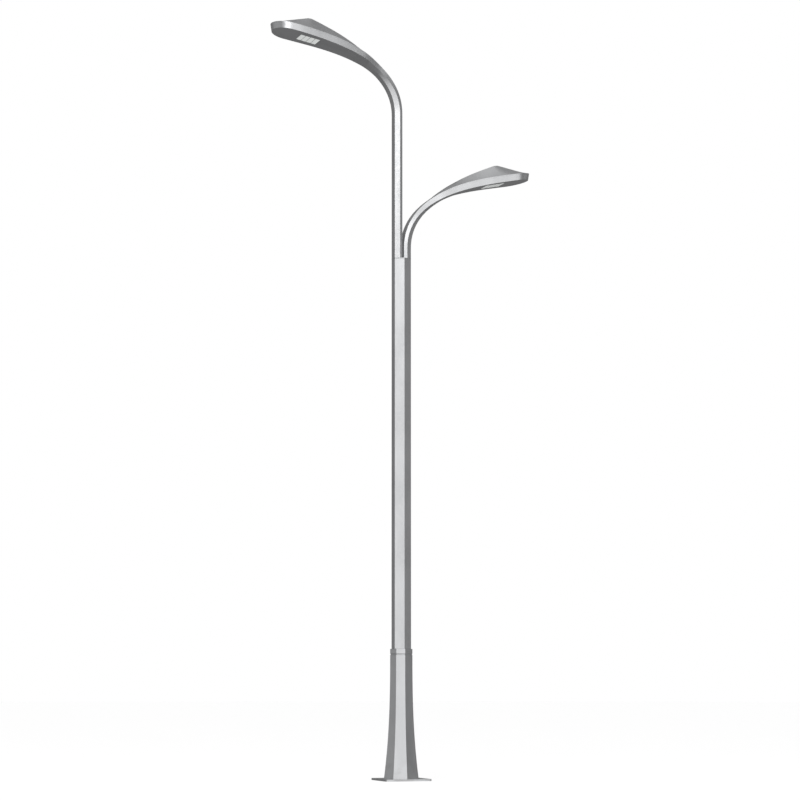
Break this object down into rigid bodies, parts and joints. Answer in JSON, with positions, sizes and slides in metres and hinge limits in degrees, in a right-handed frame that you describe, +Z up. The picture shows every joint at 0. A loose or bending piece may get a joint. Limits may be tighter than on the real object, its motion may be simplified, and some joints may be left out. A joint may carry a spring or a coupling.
{
  "type": "street light",
  "caption": "Tall double-arm LED street light: hexagonal shaft on a flared octagonal base, two curved arms at different heights tapering into slim lantern heads.",
  "frame": {"origin": "centre of the base plate's underside, on the ground", "axes": "+Z up along the shaft, +X towards the short arm's tip and -X towards the tall arm's tip"},
  "size_m": [2.9076, 0.5, 8.0131],
  "materials": {
    "paint": "satin silver-grey powder coat on steel",
    "head_paint": "satin silver-grey powder coat on cast aluminium",
    "zinc_steel": "galvanised",
    "steel": "stainless, satin",
    "seal": "matt black seal rubber",
    "cable_sheath": "matt black sheath",
    "black_plastic": "matt black",
    "white_plastic": "matt off-white",
    "brass": "plain",
    "frame_grey": "satin dark grey",
    "lens": "frosted, slightly glossy",
    "board": "white solder mask",
    "bare_aluminium": "bare die-cast"
  },
  "bodies": {
    "pole": {"base_plate": "paint", "base_skirt": "paint", "skirt_collar": "paint", "shaft_seat": "zinc_steel", "shaft": "paint", "shaft_cap": "paint", "tall_arm": "paint", "short_arm": "paint", "tall_arm_spigot": "zinc_steel", "short_arm_spigot": "zinc_steel", "arm_bolts": "steel", "door_frame": "paint", "door_gasket": "seal", "door_hinge_pin": "steel", "gear_rail": "zinc_steel", "fuse_box": "black_plastic", "supply_terminals": "white_plastic", "earth_stud": "brass", "tall_riser_cable": "cable_sheath", "short_riser_cable": "cable_sheath", "tall_housing": "head_paint", "tall_canopy_gasket": "seal", "tall_hinge_pin": "steel", "tall_lens_frame": "frame_grey", "tall_lens_panels": "lens", "tall_led_boards": "board", "tall_heat_sink": "bare_aluminium", "tall_gear_tray": "zinc_steel", "tall_driver": "black_plastic", "tall_surge_protector": "white_plastic", "tall_terminal_block": "white_plastic", "tall_cable_gland": "black_plastic", "short_housing": "head_paint", "short_canopy_gasket": "seal", "short_hinge_pin": "steel", "short_lens_frame": "frame_grey", "short_lens_panels": "lens", "short_led_boards": "board", "short_heat_sink": "bare_aluminium", "short_gear_tray": "zinc_steel", "short_driver": "black_plastic", "short_surge_protector": "white_plastic", "short_terminal_block": "white_plastic", "short_cable_gland": "black_plastic"},
    "access_door": {"access_door": "paint"},
    "door_lock": {"door_lock": "steel"},
    "tall_breaker": {"tall_breaker_lever": "white_plastic"},
    "short_breaker": {"short_breaker_lever": "white_plastic"},
    "tall_cover": {"tall_canopy": "head_paint"},
    "short_cover": {"short_canopy": "head_paint"},
    "tall_screw": {"tall_cover_screw": "steel"},
    "short_screw": {"short_cover_screw": "steel"}
  },
  "joints": [
    {"name": "short_cover_hinge", "type": "hinge", "parent": "pole", "child": "short_cover", "pos_m": [0.45751, 0, 6.25748], "axis": [0, -1, 0], "range_deg": [0, 48]},
    {"name": "tall_cover_hinge", "type": "hinge", "parent": "pole", "child": "tall_cover", "pos_m": [-0.45751, 0, 7.70248], "axis": [0, 1, 0], "range_deg": [0, 48]},
    {"name": "short_screw_turn", "type": "hinge", "parent": "short_cover", "child": "short_screw", "pos_m": [1.34008, 0, 6.52602], "axis": [0.1576, 0, 0.9875], "range_deg": [0, 90]},
    {"name": "tall_screw_turn", "type": "hinge", "parent": "tall_cover", "child": "tall_screw", "pos_m": [-1.34008, 0, 7.97102], "axis": [-0.1576, 0, 0.9875], "range_deg": [0, 90]},
    {"name": "door_hinge", "type": "hinge", "parent": "pole", "child": "access_door", "pos_m": [0.00604, 0.14133, 0.72033], "axis": [-0.014, -0.0338, 0.9993], "range_deg": [0, 120]},
    {"name": "lock_turn", "type": "hinge", "parent": "access_door", "child": "door_lock", "pos_m": [0.06593, 0.1069, 0.72], "axis": [-0.3824, -0.9233, -0.0366], "range_deg": [0, 90]},
    {"name": "tall_breaker_toggle", "type": "hinge", "parent": "pole", "child": "tall_breaker", "pos_m": [0.02198, 0.08703, 0.77875], "axis": [0.9239, -0.3827, 0], "range_deg": [0, 50]},
    {"name": "short_breaker_toggle", "type": "hinge", "parent": "pole", "child": "short_breaker", "pos_m": [0.046, 0.07708, 0.77875], "axis": [0.9239, -0.3827, 0], "range_deg": [0, 50]}
  ]
}
